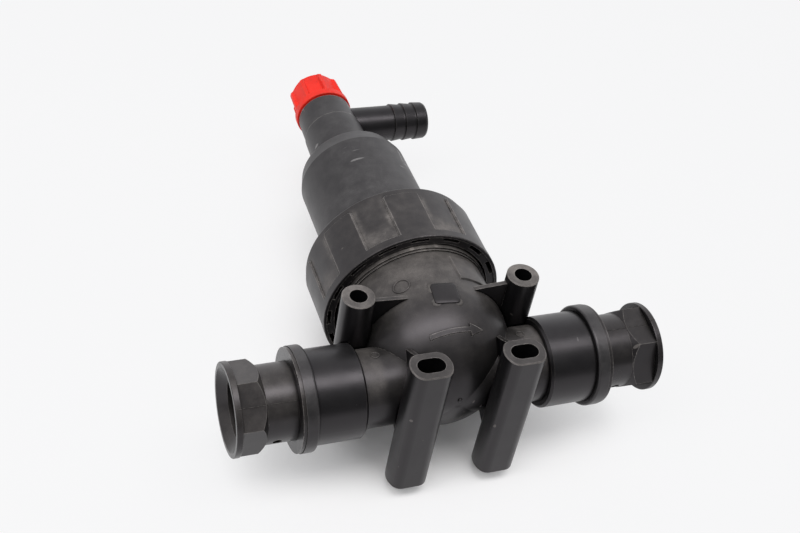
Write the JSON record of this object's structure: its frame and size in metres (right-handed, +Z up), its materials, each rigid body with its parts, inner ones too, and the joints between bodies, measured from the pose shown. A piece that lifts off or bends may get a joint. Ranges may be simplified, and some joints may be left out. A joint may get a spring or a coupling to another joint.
{
  "type": "water filter",
  "caption": "In-line water filter: tee head with threaded ports and mounting bosses, grip ring nut, tapered bowl with screen cartridge, side hose barb and drain cap.",
  "frame": {"origin": "midway between the two slotted bosses, on the plane of the boss feet", "axes": "+X along the ports from inlet to outlet, +Y along the bowl towards the drain cap, +Z up along the bosses"},
  "size_m": [0.29, 0.3592, 0.1252],
  "materials": {
    "head_plastic": "satin",
    "sleeve_plastic": "satin",
    "adapter_plastic": "satin",
    "nut_plastic": "satin",
    "bowl_plastic": "satin",
    "barb_plastic": "satin",
    "cap_red": "gloss",
    "cage_plastic": "satin",
    "screen_steel": "satin",
    "seal_rubber": "matte"
  },
  "bodies": {
    "head": {"filter_head": "head_plastic", "inlet_sleeve": "sleeve_plastic", "outlet_sleeve": "sleeve_plastic", "inlet_adapter": "adapter_plastic", "outlet_adapter": "adapter_plastic", "inlet_seal": "seal_rubber", "outlet_seal": "seal_rubber"},
    "bowl_unit": {"bowl": "bowl_plastic", "bowl_seal": "seal_rubber", "cartridge_top_seal": "seal_rubber", "cartridge_top_collar": "cage_plastic", "cartridge_cage": "cage_plastic", "cartridge_screen": "screen_steel", "cartridge_bottom_collar": "cage_plastic", "cartridge_bottom_seal": "seal_rubber", "flow_deflector": "cage_plastic", "hose_barb": "barb_plastic", "flush_jet": "cage_plastic"},
    "nut": {"ring_nut": "nut_plastic"},
    "cap_gasket": {"drain_cap_seal": "seal_rubber"},
    "cap": {"drain_cap": "cap_red"}
  },
  "joints": [
    {"name": "bowl_slide", "type": "slide", "parent": "head", "child": "bowl_unit", "axis": [0, 1, 0], "range_m": [0, 0.03]},
    {"name": "nut_turn", "type": "hinge", "parent": "bowl_unit", "child": "nut", "pos_m": [0, 0.1257, 0.053], "axis": [0, 1, 0], "range_deg": [0, 1800]},
    {"name": "cap_slide", "type": "slide", "parent": "bowl_unit", "child": "cap_gasket", "axis": [0, 1, 0], "range_m": [0, 0.024]},
    {"name": "cap_turn", "type": "hinge", "parent": "cap_gasket", "child": "cap", "pos_m": [0, 0.3337, 0.053], "axis": [0, 1, 0], "range_deg": [0, 2160]}
  ],
  "couplings": [
    {"joint": "bowl_slide", "follows": "nut_turn", "m_per_rad": 0.00095493},
    {"joint": "cap_slide", "follows": "cap_turn", "m_per_rad": 0.00063662}
  ]
}
